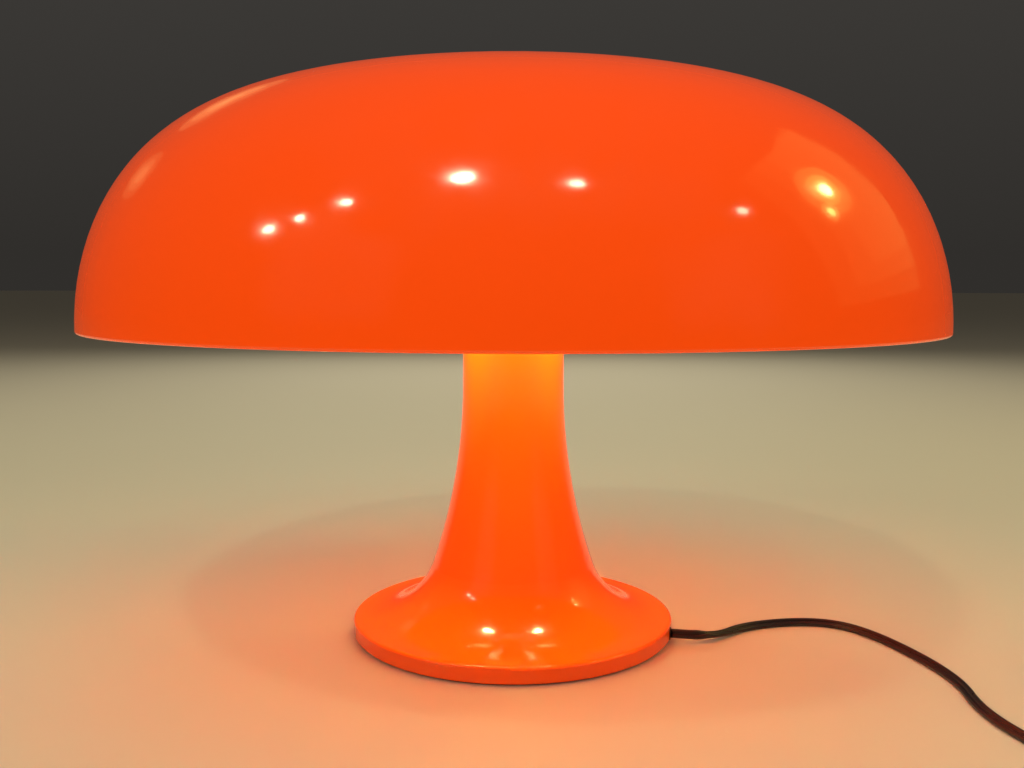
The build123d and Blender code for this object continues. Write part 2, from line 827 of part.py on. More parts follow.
def biarc(start, start_way, end, end_way):
    """Two arcs, tangent to each other and to both ends."""
    chord = end - start
    ways = start_way + end_way
    bend = 2 * (1 - start_way.dot(end_way))
    reach = (-chord.dot(ways) + math.sqrt(chord.dot(ways) ** 2 + bend * chord.dot(chord))) / bend
    first, second = start + start_way * reach, end - end_way * reach
    middle = (first + second) * 0.5
    joint_way = (second - first).normalized()
    return [
        Edge.make_tangent_arc(start, start_way, middle),
        Edge.make_tangent_arc(middle, joint_way, end),
    ]


def coil_path():
    total = 2 * coil_turns + 0.5
    states = [coil_state(quarter / 4) for quarter in range(int(total * 4) + 1)]
    (first, first_way), (last, last_way) = states[0], states[-1]
    edges = [Edge.make_line(first - first_way * cord_diameter, first)]
    for (start, start_way), (end, end_way) in zip(states, states[1:]):
        edges += biarc(start, start_way, end, end_way)
    edges.append(Edge.make_line(last, last + last_way * cord_diameter))
    return Wire(edges)


def coil_self_gap(path):
    """Least distance between turns of the tube, measured on points of its centre line."""
    count = 900
    apart = 6 * cord_diameter  # stretches nearer than this along the cord are neighbours
    points = [tuple(path.position_at(i / count)) for i in range(count + 1)]
    step = path.length / count
    skip = int(apart / step)
    nearest = min(
        math.dist(points[i], points[j])
        for i in range(count + 1)
        for j in range(i + skip, count + 1)
    )
    return nearest - cord_diameter


def lifted(points):
    return [Vector(x, y, cord_rest_height + lift) for x, y, lift in points]


def cord_route():
    """Control points from the grommet's face to the start of the coil's lead-in."""
    start, way = coil_state(0)
    lead_in = start - way * cord_diameter
    face = foot_radius + grommet_proud
    first = [polar(face + reach, cord_azimuth, cord_exit_height) for reach in (0, cord_lead_out)]
    return first + lifted(cord_points) + [lead_in - way * cord_lead_in, lead_in]


def tail_route():
    end, way = coil_state(2 * coil_turns + 0.5)
    start = end + way * cord_diameter
    return [start, start + way * tail_lead_out] + lifted(tail_points) + [plug_entry]


def print_volume(name, path, tube):
    """The tube's length, and its volume over its section times its length."""
    expected = math.pi * cord_diameter**2 / 4 * path.length
    print(name, "length", round(path.length, 1), "volume ratio", round(tube.volume / expected, 4))


def cord_tube(name, points):
    radii = route_radii(points)
    path = FilletPolyline(*points, radius=radii)
    tube = round_sweep(path, cord_diameter)
    runs = [(b - a).length for a, b in zip(points, points[1:])]
    print_volume(name, path, tube)
    print(name, "radii", [round(radius, 1) for radius in radii])
    print(name, "runs", [round(run, 1) for run in runs])
    return tube


def cord_coil():
    path = coil_path()
    tube = round_sweep(path, cord_diameter)
    print_volume("cord_coil", path, tube)
    print("cord_coil least self gap", round(coil_self_gap(path), 3))
    return tube


# ---- plug ----
plug_entry = Vector(plug_back[0], plug_back[1], plug_height / 2)


def plug_place():
    return Pos(plug_entry)


def plug_body():
    outline = Polyline(
        (-plug_neck_width / 2, 0),
        (-plug_neck_width / 2, plug_neck_length),
        (-plug_width / 2, plug_shoulder),
        (-plug_width / 2, plug_length),
        (plug_width / 2, plug_length),
        (plug_width / 2, plug_shoulder),
        (plug_neck_width / 2, plug_neck_length),
        (plug_neck_width / 2, 0),
        close=True,
    )
    body = Pos(0, 0, -plug_height / 2) * extrude(make_face(outline), plug_height)
    body = fillet(body.edges().filter_by(Axis.Z), plug_edge_radius)
    return plug_place() * body


def plug_pins():
    pins = []
    for side in (-1, 1):
        pin = Cylinder(pin_diameter / 2, pin_length, align=(Align.CENTER, Align.CENTER, Align.MIN))
        pin = fillet(pin.edges().group_by(Axis.Z)[-1], pin_tip_radius)
        pins.append(plug_place() * Pos(side * pin_spacing / 2, plug_length, 0) * Rot(-90, 0, 0) * pin)
    return pins


# ---- writing ----
def save(name, shape):
    solids = shape if isinstance(shape, list) else [shape]
    solids = [solid for item in solids for solid in item.solids()]
    export_step(Compound(children=solids, label=name), f"parts/{name}.step")


def main():
    os.makedirs("parts", exist_ok=True)
    single = [
        lamp_body, base_plate, base_screws, foot_pad, ballast, centre_tube, tube_nuts, tube_washers,
        lamp_carrier, holder_nuts, junction_block, riser_lead, terminal_block, switch_lead, cord_inner,
        cord_grommet, cord_clamp, clamp_screws, switch_body, switch_nut, switch_spring, switch_button,
        shade_support, support_cushion, shade_shell, cord_coil, plug_body, plug_pins,
    ]
    for make in single:
        save(make.__name__, make())
    repeated = [lampholder, holder_shell, holder_contact, bulb_cap, bulb_glass, bulb_filament]
    for number, angle in enumerate(corner_angles, 1):
        for make in repeated:
            save(f"{make.__name__}_{number}", along(angle, bulb_height) * make())
        save(f"holder_lead_{number}", holder_lead(angle))
    save("cord_run", cord_tube("cord_run", cord_route()))
    save("cord_tail", cord_tube("cord_tail", tail_route()))


main()
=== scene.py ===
import json
import math
import bpy
from mathutils import Matrix, Vector


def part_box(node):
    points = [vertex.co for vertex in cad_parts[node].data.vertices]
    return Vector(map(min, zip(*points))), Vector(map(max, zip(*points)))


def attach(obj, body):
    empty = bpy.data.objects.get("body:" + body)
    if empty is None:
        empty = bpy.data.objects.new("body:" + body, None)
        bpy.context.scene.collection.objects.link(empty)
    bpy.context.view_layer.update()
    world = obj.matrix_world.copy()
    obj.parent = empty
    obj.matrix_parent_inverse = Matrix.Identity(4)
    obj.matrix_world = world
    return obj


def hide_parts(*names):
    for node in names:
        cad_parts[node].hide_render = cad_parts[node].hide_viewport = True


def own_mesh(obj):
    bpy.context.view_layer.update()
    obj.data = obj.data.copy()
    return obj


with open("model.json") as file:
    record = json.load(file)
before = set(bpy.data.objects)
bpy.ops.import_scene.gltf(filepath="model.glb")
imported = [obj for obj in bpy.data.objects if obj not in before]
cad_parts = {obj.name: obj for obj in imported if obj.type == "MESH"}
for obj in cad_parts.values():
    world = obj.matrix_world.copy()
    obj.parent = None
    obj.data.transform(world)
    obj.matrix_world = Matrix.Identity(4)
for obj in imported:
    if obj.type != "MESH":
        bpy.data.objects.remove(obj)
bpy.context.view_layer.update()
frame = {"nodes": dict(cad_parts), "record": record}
scene = bpy.context.scene
nodes = frame["nodes"]
print("frame loaded:", len(nodes), "CAD nodes")


# camera, at the photograph's place
cameraSetup = {
    "lens": 36.39,  # mm, on the sensor below
    "sensor": 36.0,
    "clip": (0.01, 100),
    "place": (0.0015, -0.6910, 0.2333),
    "lookDown": 5.449,  # this and the next two in degrees
    "roll": 0.15,
    "turn": -0.2,
}


def addObject(name, data):
    thing = bpy.data.objects.new(name, data)
    scene.collection.objects.link(thing)
    return thing


def makeCamera():
    data = bpy.data.cameras.new("camera")
    data.lens = cameraSetup["lens"]
    data.sensor_width = cameraSetup["sensor"]
    data.clip_start, data.clip_end = cameraSetup["clip"]
    down, roll, turn = (math.radians(cameraSetup[key]) for key in ("lookDown", "roll", "turn"))
    forward = Vector((math.sin(turn) * math.cos(down), math.cos(turn) * math.cos(down), -math.sin(down)))
    level = Vector((math.cos(turn), -math.sin(turn), 0))
    upright = level.cross(forward)
    right = level * math.cos(roll) + upright * math.sin(roll)
    top = upright * math.cos(roll) - level * math.sin(roll)
    camera = addObject("camera", data)
    camera.matrix_world = Matrix((right, top, -forward)).transposed().to_4x4()
    camera.location = cameraSetup["place"]
    scene.camera = camera


makeCamera()
scene.view_settings.view_transform = "Standard"
print("camera set")


# colours and patterns
def paint(red, green, blue):  # a colour as a picture program writes it, 0 to 255
    return tuple(
        v / 12.92 if v <= 0.04045 else ((v + 0.055) / 1.055) ** 2.4
        for v in (red / 255, green / 255, blue / 255)
    )


def startMaterial(name, extra):
    material = bpy.data.materials.new(name)
    material.use_nodes = True
    shader = material.node_tree.nodes["Principled BSDF"]
    for key, value in extra.items():
        socket = shader.inputs[key]
        socket.default_value = (*value, 1) if socket.type == "RGBA" else value
    return material, material.node_tree, shader


noiseSpread = (0.3, 0.7)  # the values that a noise pattern mostly keeps within


def noise(tree, scale, detail):  # scale is per metre
    place = tree.nodes.new("ShaderNodeTexCoord")
    pattern = tree.nodes.new("ShaderNodeTexNoise")
    pattern.inputs["Scale"].default_value = scale
    pattern.inputs["Detail"].default_value = detail
    tree.links.new(place.outputs["Object"], pattern.inputs["Vector"])
    return pattern.outputs["Fac"]


def remap(tree, value, low, high, fromLow, fromHigh):
    step = tree.nodes.new("ShaderNodeMapRange")
    for key, number in zip(("From Min", "From Max", "To Min", "To Max"), (fromLow, fromHigh, low, high)):
        step.inputs[key].default_value = number
    tree.links.new(value, step.inputs["Value"])
    return step.outputs["Result"]


def blendColours(tree, share, first, second, socket):
    mix = tree.nodes.new("ShaderNodeMix")
    mix.data_type = "RGBA"
    mix.inputs["A"].default_value = (*first, 1)
    mix.inputs["B"].default_value = (*second, 1)
    tree.links.new(share, mix.inputs["Factor"])
    tree.links.new(mix.outputs["Result"], socket)


def bumpFrom(tree, shader, height, depth):
    bump = tree.nodes.new("ShaderNodeBump")
    bump.inputs["Distance"].default_value = depth
    tree.links.new(height, bump.inputs["Height"])
    tree.links.new(bump.outputs["Normal"], shader.inputs["Normal"])


# lit orange plastic: the shade glows most, and the foot a little; this glow is painted light, emission
# standing in for the bulbs' light through the plastic
orange = {
    "bodyLight": paint(250, 92, 10),
    "bodyDeep": paint(245, 84, 7),
    "shadeLight": paint(226, 61, 6),
    "shadeDeep": paint(221, 57, 4),
    "glow": paint(250, 84, 8),
    # painted glow: emission strengths for the shade and the foot, which are no lamps
    "shadePaintedGlow": 0.46,
    "bodyPaintedGlow": 0.06,
    "gloss": {"Coat Weight": 0.25, "Coat Roughness": 0.02},
}
bulb = {
    "rodColour": paint(255, 206, 120),
    "rodStrength": 30.0,
    "glass": paint(250, 240, 222),
    "glassGlow": 0.3,
    "glassAlpha": 0.2,
}


def glowing(colour, strength):
    return {"Emission Color": colour, "Emission Strength": strength}


# Each finish has a name, and of these what it needs:
# extra: values of the shader that are the same all over
# tones: the mottling's scale per metre, its detail, and the two colours that it goes between
# wear: scale, detail, and the two roughnesses
# grain: scale, detail, and depth in metres
finishTable = {
    # the foot's moulding carries a little painted glow, emission in place of light
    "orange_moulding": {
        "name": "orangeMoulding",
        "extra": {**orange["gloss"], **glowing(orange["glow"], orange["bodyPaintedGlow"])},
        "tones": (14, 3, orange["bodyLight"], orange["bodyDeep"]),
        "wear": (70, 6, 0.09, 0.17), "grain": (120, 2, 0.00003)},
    # the shade carries the most painted glow, emission in place of light through its wall
    "orange_shade": {
        "name": "orangeShade",
        "extra": {**orange["gloss"], **glowing(orange["glow"], orange["shadePaintedGlow"])},
        "tones": (8, 3, orange["shadeLight"], orange["shadeDeep"]),
        "wear": (50, 6, 0.07, 0.14), "grain": (60, 2, 0.00004)},
    "pad_rubber": {
        "name": "padRubber", "extra": {"Roughness": 0.75},
        "tones": (300, 5, paint(24, 23, 23), paint(40, 38, 37)), "grain": (900, 4, 0.0001)},
    "zinc_steel": {
        "name": "zincSteel", "extra": {"Metallic": 1.0},
        "tones": (120, 4, paint(178, 180, 176), paint(205, 204, 196)),
        "wear": (400, 5, 0.25, 0.45), "grain": (700, 3, 0.00004)},
    "ballast_iron": {
        "name": "ballastIron", "extra": {"Roughness": 0.6, "Metallic": 0.6},
        "tones": (60, 6, paint(44, 45, 48), paint(70, 69, 68)), "grain": (500, 6, 0.0003)},
    "carrier_white": {
        "name": "carrierWhite", "extra": {"Roughness": 0.3, "Coat Weight": 0.3},
        "tones": (40, 4, paint(238, 234, 226), paint(226, 220, 208)), "grain": (350, 3, 0.00005)},
    "black_moulding": {
        "name": "blackMoulding", "extra": {"Roughness": 0.45},
        "tones": (160, 4, paint(22, 22, 23), paint(34, 33, 34)), "grain": (1500, 3, 0.00006)},
    "block_white": {
        "name": "blockWhite", "extra": {"Roughness": 0.5},
        "tones": (90, 4, paint(234, 232, 224), paint(220, 216, 204)), "grain": (1200, 3, 0.00005)},
    "holder_white": {
        "name": "holderWhite", "extra": {"Roughness": 0.18, "Coat Weight": 0.7},
        "tones": (70, 3, paint(240, 236, 226), paint(228, 221, 204)), "grain": (200, 2, 0.00006)},
    "lead_white": {
        "name": "leadWhite", "extra": {"Roughness": 0.4},
        "tones": (150, 3, paint(216, 214, 208), paint(200, 197, 188))},
    "cord_brown": {
        "name": "cordBrown", "extra": {"Coat Weight": 0.15},
        "tones": (90, 5, paint(25, 23, 23), paint(37, 34, 34)),
        "wear": (260, 5, 0.27, 0.37), "grain": (1400, 3, 0.00002)},
    "grommet_black": {
        "name": "grommetBlack", "extra": {"Roughness": 0.6},
        "tones": (400, 4, paint(20, 19, 19), paint(34, 31, 30)), "grain": (1200, 3, 0.00006)},
    "nickel": {
        "name": "nickel", "extra": {"Metallic": 1.0},
        "tones": (80, 4, paint(210, 206, 198), paint(192, 187, 176)), "wear": (500, 5, 0.1, 0.24)},
    "button_black": {
        "name": "buttonBlack", "extra": {"Coat Weight": 0.4},
        "tones": (300, 4, paint(20, 19, 19), paint(30, 28, 28)), "wear": (600, 4, 0.12, 0.26)},
    "brass": {
        "name": "brass", "extra": {"Metallic": 1.0},
        "tones": (150, 5, paint(220, 184, 104), paint(186, 146, 76)), "wear": (500, 4, 0.18, 0.36)},
    "bulb_glass": {
        "name": "bulbGlass",
        "extra": {"Roughness": 0.08, "Alpha": bulb["glassAlpha"],
                  **glowing(bulb["rodColour"], bulb["glassGlow"])},
        "tones": (120, 3, bulb["glass"], paint(244, 232, 210))},
    "filament_warm": {
        "name": "filamentWarm",
        "extra": {"Roughness": 0.4, **glowing(bulb["rodColour"], bulb["rodStrength"])},
        "tones": (900, 3, paint(250, 220, 150), paint(240, 200, 120))},
    "plug_black": {
        "name": "plugBlack",
        "tones": (120, 5, paint(31, 26, 24), paint(44, 37, 34)),
        "wear": (420, 5, 0.34, 0.5), "grain": (1800, 2, 0.00008)},
}


def makeFinish(row):
    scale, detail, first, second = row["tones"]
    material, tree, shader = startMaterial(row["name"], row.get("extra", {}))
    blendColours(tree, noise(tree, scale, detail), first, second, shader.inputs["Base Color"])
    if "wear" in row:
        scale, detail, low, high = row["wear"]
        worn = remap(tree, noise(tree, scale, detail), low, high, *noiseSpread)
        tree.links.new(worn, shader.inputs["Roughness"])
    if "grain" in row:
        scale, detail, depth = row["grain"]
        bumpFrom(tree, shader, noise(tree, scale, detail), depth)
    return material


finishes = {slot: makeFinish(row) for slot, row in finishTable.items()}
for part in frame["record"]["subparts"]:
    for holder in nodes[part["node"]].material_slots:
        holder.material = finishes[part["material_slot"]]
print("finishes made:", len(finishes))


# meshes
def meshPiece(name, corners, faces, slots, body="lamp", faceSlots=None):
    mesh = bpy.data.meshes.new(name)
    mesh.from_pydata([tuple(corner) for corner in corners], [], faces)
    for slotName in slots:
        mesh.materials.append(finishes[slotName])
    for number, face in enumerate(mesh.polygons):
        face.use_smooth = True
        face.material_index = faceSlots[number] if faceSlots else 0
    mesh.update()
    piece = addObject(name, mesh)
    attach(piece, body)
    return piece


def bandFaces(ringSize, first, second):  # quads from one ring of corners to another
    faces = []
    for k in range(ringSize):
        after = (k + 1) % ringSize
        faces.append((first + k, first + after, second + after, second + k))
    return faces


def ringFaces(ringCount, ringSize):  # a row of rings, with a cap at each end
    last = (ringCount - 1) * ringSize
    faces = []
    for base in range(0, last, ringSize):
        faces += bandFaces(ringSize, base, base + ringSize)
    faces.append(tuple(range(ringSize - 1, -1, -1)))
    faces.append(tuple(range(last, last + ringSize)))
    return faces


def loopFaces(ringCount, ringSize):  # rings that come round to the first one again
    faces = []
    for row in range(ringCount):
        faces += bandFaces(ringSize, row * ringSize, (row + 1) % ringCount * ringSize)
    return faces


def circle(count):  # a cosine and a sine for each of its points
    return [(math.cos(math.tau * k / count), math.sin(math.tau * k / count)) for k in range(count)]


# cord: flat two-core flex along the CAD route, in metres
cord = {
    "width": 0.0062,
    "coreRadius": 0.00155,
    "coreReach": 138,  # degrees of each core's outline, either way from its outer side
    "coreSteps": 10,
    "groove": 0.00045,  # half the web's thickness between the cores
    "exit": (0.10398, -0.02884, 0.0060),
    "run": [
        (0.11360, -0.03150, 0.00600), (0.12820, -0.02920, 0.00490), (0.14100, -0.01940, 0.00290),
        (0.15300, -0.00840, 0.00245), (0.16800, -0.00080, 0.00245), (0.18700, 0.00480, 0.00245),
        (0.20850, 0.00600, 0.00245), (0.22700, -0.00200, 0.00245), (0.24080, -0.02250, 0.00245),
        (0.25000, -0.04650, 0.00245), (0.25850, -0.07650, 0.00245), (0.26200, -0.10650, 0.00245),
        (0.25780, -0.13450, 0.00245), (0.25900, -0.15750, 0.00245), (0.26450, -0.17950, 0.00245),
        (0.27000, -0.19650, 0.00245), (0.27620, -0.21220, 0.00245),
    ],
    "tail": [
        (0.36460, -0.19050, 0.00775), (0.36260, -0.17550, 0.00540), (0.35850, -0.16050, 0.00290),
        (0.35350, -0.14700, 0.00320), (0.35000, -0.13450, 0.00560), (0.34900, -0.12350, 0.00685),
        (0.34900, -0.11250, 0.00685),
    ],
    # how far the flat side leans, in degrees, at a distance along the cord; 90 is on edge
    "lean": [(0.0, 90), (0.012, 90), (0.026, 12), (0.034, 6), (0.062, 35.5), (0.33, 35.5), (0.38, 30),
             (1.66, 30), (1.74, 34), (1.77, 0), (1.9, 0)],
    "stepsPerPoint": 8,
    "length": 1.80,
}
coil = {
    "centre": (0.320, -0.203),
    "outerRadius": 0.044,
    "pitch": 0.0067,
    "layerHeight": 0.0053,
    "rest": 0.00245,
    "turnsPerLayer": 3,
    "leadIn": 2,  # points left out, where the cord comes in along the tangent
    "pointsPerTurn": 24,
}


def coilPoints():  # spirals in, climbs half a turn, spirals out on top
    slope = coil["pitch"] / math.tau
    inner = coil["outerRadius"] - coil["pitch"] * coil["turnsPerLayer"]
    climbStart = math.tau * coil["turnsPerLayer"]
    points = []
    for step in range(int((2 * coil["turnsPerLayer"] + 0.5) * coil["pointsPerTurn"]) + 1):
        angle = math.tau * step / coil["pointsPerTurn"]
        past = angle - climbStart
        if past <= 0:
            radius, height = coil["outerRadius"] - slope * angle, 0.0
        elif past <= math.pi:
            radius = inner - slope * past + slope * past**2 / math.pi
            height = coil["layerHeight"] * (past / math.pi - math.sin(2 * past) / math.tau)
        else:
            radius, height = inner + slope * (past - math.pi), coil["layerHeight"]
        around = angle + math.pi
        points.append((coil["centre"][0] + radius * math.cos(around),
                       coil["centre"][1] + radius * math.sin(around), coil["rest"] + height))
    return points[coil["leadIn"]:]


def smoothLine(points, steps):  # points read from one NURBS spline through the route
    curve = bpy.data.curves.new("route", "CURVE")
    curve.dimensions = "3D"
    curve.resolution_u = steps
    spline = curve.splines.new("NURBS")
    spline.points.add(len(points) - 1)
    for knot, point in zip(spline.points, points):
        knot.co = (*point, 1)
    spline.order_u = 3
    spline.use_endpoint_u = True
    route = addObject("route", curve)
    mesh = bpy.data.meshes.new_from_object(route)
    line = [corner.co.copy() for corner in mesh.vertices]
    bpy.data.objects.remove(route)
    bpy.data.curves.remove(curve)
    bpy.data.meshes.remove(mesh)
    return line


def distancesAlong(line):
    total, distances = 0.0, [0.0]
    for before, after in zip(line, line[1:]):
        total += (after - before).length
        distances.append(total)
    return distances


def leanAt(distance):
    stations = cord["lean"]
    for (start, first), (end, second) in zip(stations, stations[1:]):
        if distance <= end:
            share = max(0.0, (distance - start) / (end - start))
            share = share * share * (3 - 2 * share)
            return math.radians(first + (second - first) * share)
    return math.radians(stations[-1][1])


def crossDirections(line, k, lean):  # along the flat side, and square to it
    way = (line[min(k + 1, len(line) - 1)] - line[max(k - 1, 0)]).normalized()
    side = way.cross(Vector((0, 0, 1))).normalized()
    upright = side.cross(way)
    return side * math.cos(lean) - upright * math.sin(lean), upright * math.cos(lean) + side * math.sin(lean)


def flexSection():  # two round cores with a groove between them
    radius, steps = cord["coreRadius"], cord["coreSteps"]
    reach = math.radians(cord["coreReach"])
    half = []
    for k in range(steps + 1):
        angle = -reach + 2 * reach * k / steps
        half.append((radius + radius * math.cos(angle), radius * math.sin(angle)))
    half.append((0, cord["groove"]))
    return half + [(-across, -above) for across, above in half]


def makeCord():
    points = [cord["exit"]] + cord["run"] + coilPoints() + cord["tail"]
    line = smoothLine(points, cord["stepsPerPoint"])
    distances = distancesAlong(line)
    section = flexSection()
    corners = []
    for k, point in enumerate(line):
        flat, thick = crossDirections(line, k, leanAt(distances[k]))
        corners += [point + flat * across + thick * above for across, above in section]
    piece = meshPiece("mainsCord", corners, ringFaces(len(line), len(section)), ["cord_brown"])
    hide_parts("cord_run", "cord_coil", "cord_tail")
    print("cord made:", round(distances[-1], 3), "m")
    return piece, line, distances


mainsCord, cordLine, cordDistances = makeCord()


# plug: two round pins in a moulded body, with a ribbed sleeve where the cord enters; in mm but for its place
plug = {
    "back": (0.349, -0.1125, 0.00685),  # in metres
    # distance from the back, width and height of the moulded body
    "sections": [
        (0.0, 11.0, 8.8), (1.2, 12.4, 9.8), (4.0, 13.6, 10.6), (7.0, 16.5, 11.4), (10.0, 21.5, 12.3),
        (13.0, 28.0, 13.1), (15.5, 32.4, 13.5), (18.0, 34.6, 13.7), (21.0, 35.2, 13.7), (32.0, 35.2, 13.7),
        (34.6, 34.6, 13.2), (35.7, 33.4, 12.2), (36.0, 32.0, 11.0),
    ],
    "gripStart": 19.5,
    "gripPitch": 2.6,
    "gripCount": 4,
    "gripDepth": 0.7,
    "gripWidth": 1.3,
    "gripSlope": 0.25,  # length of each groove's sides
    "squareness": 3.6,
    "points": 48,
    "pinSpacing": 18.6,
    "pinRadius": 2.0,
    "pinLength": 19.0,
    "pinEnd": 1.6,  # radius of its rounded end
    "pinPoints": 32,
    "sleeveRadius": 1.88,
    "sleeveLength": 10.0,
    "sleeveStep": 0.1,
}
relief = {
    "length": 24.0,
    "thin": (7.4, 4.6),  # width and height where it meets the cord
    "thick": (10.6, 8.2),  # and where it meets the plug
    "ribs": 7,
    "ringsPerRib": 6,
    "gap": (0.15, 0.5),  # share of each rib's length that is sunk
    "ribHeight": 0.45,
    "squareness": 2.4,
    "points": 32,
}


def superEllipse(width, height, power, count):
    return [(width / 2 * math.copysign(abs(c) ** (2 / power), c),
             height / 2 * math.copysign(abs(s) ** (2 / power), s)) for c, s in circle(count)]


def plugSizeAt(distance):
    sections = plug["sections"]
    for (start, wide, high), (end, wide2, high2) in zip(sections, sections[1:]):
        if distance <= end:
            share = (distance - start) / (end - start)
            return wide + (wide2 - wide) * share, high + (high2 - high) * share
    return sections[-1][1:]


def makePlugBody():
    stops = {row[0]: 0.0 for row in plug["sections"]}  # distance from the back, and how far it is sunk there
    for k in range(plug["gripCount"]):
        start = plug["gripStart"] + k * plug["gripPitch"]
        end = start + plug["gripWidth"]
        stops |= {start: 0.0, start + plug["gripSlope"]: plug["gripDepth"],
                  end - plug["gripSlope"]: plug["gripDepth"], end: 0.0}
    corners = []
    for distance in sorted(stops):
        wide, high = plugSizeAt(distance)
        high -= 2 * stops[distance]
        for across, above in superEllipse(wide, high, plug["squareness"], plug["points"]):
            corners.append((plug["back"][0] + across / 1000, plug["back"][1] + distance / 1000,
                            plug["back"][2] + above / 1000))
    faces = ringFaces(len(stops), plug["points"])
    piece = meshPiece("plugBody", corners, faces, ["plug_black"])
    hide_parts("plug_body")
    return piece


def makePlugPins():
    end, straight, around = plug["pinEnd"], plug["pinLength"] - plug["pinEnd"], plug["pinPoints"]
    profile = [(0.0, plug["sleeveRadius"]), (plug["sleeveLength"], plug["sleeveRadius"]),
               (plug["sleeveLength"] + plug["sleeveStep"], plug["pinRadius"]), (straight, plug["pinRadius"])]
    for k in range(1, 6):  # the rounded end, a quarter turn in five steps
        angle = math.radians(18 * k)
        profile.append((straight + end * math.sin(angle), plug["pinRadius"] - end * (1 - math.cos(angle))))
    face = plug["back"][1] + plug["sections"][-1][0] / 1000
    corners, faces, faceSlots = [], [], []
    for side in (-1, 1):
        middle = plug["back"][0] + side * plug["pinSpacing"] / 2000
        start = len(corners)
        for along, radius in profile:
            corners += [(middle + radius * c / 1000, face + along / 1000, plug["back"][2] + radius * s / 1000)
                        for c, s in circle(around)]
        rings = ringFaces(len(profile), around)
        faces += [tuple(start + corner for corner in ring) for ring in rings]
        faceSlots += [1 if k < around else 0 for k in range(len(rings))]  # the first ring is the sleeve
    piece = meshPiece("plugPins", corners, faces, ["nickel", "plug_black"], faceSlots=faceSlots)
    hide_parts("plug_pins")
    return piece


def makePlugRelief():  # along the last of the cord's line
    start = cordDistances[-1] - relief["length"] / 1000
    inside = [k for k, distance in enumerate(cordDistances) if distance >= start]
    line = [cordLine[k] for k in inside]
    track = [cordDistances[k] - cordDistances[inside[0]] for k in inside]
    length, ribLength = track[-1], relief["length"] / 1000 / relief["ribs"]
    steps = relief["ribs"] * relief["ringsPerRib"]
    corners = []
    for step in range(steps + 1):
        stop = length * step / steps
        k = max(j for j, distance in enumerate(track[:-1]) if distance <= stop + 1e-9)
        point = line[k].lerp(line[k + 1], min(1.0, (stop - track[k]) / (track[k + 1] - track[k])))
        flat, thick = crossDirections(line, k, 0.0)
        sunk = relief["gap"][0] < (stop % ribLength) / ribLength < relief["gap"][1]
        swell = 0.0 if sunk else 2 * relief["ribHeight"]
        wide, high = (small + (large - small) * step / steps + swell
                      for small, large in zip(relief["thin"], relief["thick"]))
        for across, above in superEllipse(wide / 1000, high / 1000, relief["squareness"], relief["points"]):
            corners.append(point + flat * across + thick * above)
    return meshPiece("plugRelief", corners, ringFaces(steps + 1, relief["points"]), ["plug_black"])


plugPieces = [makePlugBody(), makePlugPins(), makePlugRelief()]


# tie: a thin strap round the coil's bundle, in metres
tie = {
    "angle": 90,  # degrees round the coil
    "inner": 0.0224,  # this and the next: from the coil's centre, where the strap's opening starts and ends
    "outer": 0.0422,
    "low": 0.00013,
    "high": 0.01035,
    "corner": 0.0024,
    "cornerSteps": 6,
    "thickness": 0.0005,
    "floorThickness": 0.00012,
    "width": 0.010,
    "edge": 0.0002,
}


def roundedBox(low, high, left, right, radius):
    points, steps = [], tie["cornerSteps"]
    for x, z, first in ((right, high, 0), (left, high, 90), (left, low, 180), (right, low, 270)):
        cx = x - radius if x == right else x + radius
        cz = z - radius if z == high else z + radius
        for k in range(steps + 1):
            angle = math.radians(first + 90 * k / steps)
            points.append((cx + radius * math.cos(angle), cz + radius * math.sin(angle)))
    return points


def makeTie():
    inside = roundedBox(tie["low"], tie["high"], tie["inner"], tie["outer"], tie["corner"])
    outside = roundedBox(tie["low"] - tie["floorThickness"], tie["high"] + tie["thickness"],
                         tie["inner"] - tie["thickness"], tie["outer"] + tie["thickness"],
                         tie["corner"] + tie["thickness"])
    angle = math.radians(tie["angle"])
    out = Vector((math.cos(angle), math.sin(angle), 0))
    around = Vector((-math.sin(angle), math.cos(angle), 0))
    centre = Vector((*coil["centre"], 0))
    half, edge = tie["width"] / 2, tie["edge"]
    rings = ((inside, -half), (outside, -half + edge), (outside, half - edge), (inside, half))
    corners = []
    for ring, offset in rings:
        corners += [centre + out * x + around * offset + Vector((0, 0, z)) for x, z in ring]
    return meshPiece("coilTie", corners, loopFaces(len(rings), len(inside)), ["black_moulding"])


coilTie = makeTie()
print("plug and tie made")


# bulbs: threaded cap, glass mount and glowing rods, along each CAD bulb's axis; in mm from the lamp's axis
cap = {
    "turns": (45, 135, 225, 315),  # degrees round the lamp, for bulbs 1 to 4
    "height": 284.0,
    # distance along the bulb and radius: solder tip, insulator, then the metal edge under the thread
    "tip": [(35.35, 0.9), (35.45, 1.8), (35.80, 2.4), (36.35, 2.5)],
    "insulator": [(36.45, 2.55), (37.10, 3.55), (37.80, 4.60), (38.30, 5.30)],
    "edge": [(38.45, 5.60), (38.90, 6.20), (39.35, 6.52)],
    "collar": [(53.20, 6.70), (53.90, 6.92), (55.50, 6.95), (56.15, 6.92), (56.35, 6.70)],
    "threadStart": 39.6,
    "threadEnd": 52.8,
    "threadPitch": 2.82,
    "threadDepth": 0.62,
    "threadRadius": 6.93,
    "threadStep": 0.3,
    "threadFade": 1.2,
    "around": 40,
}
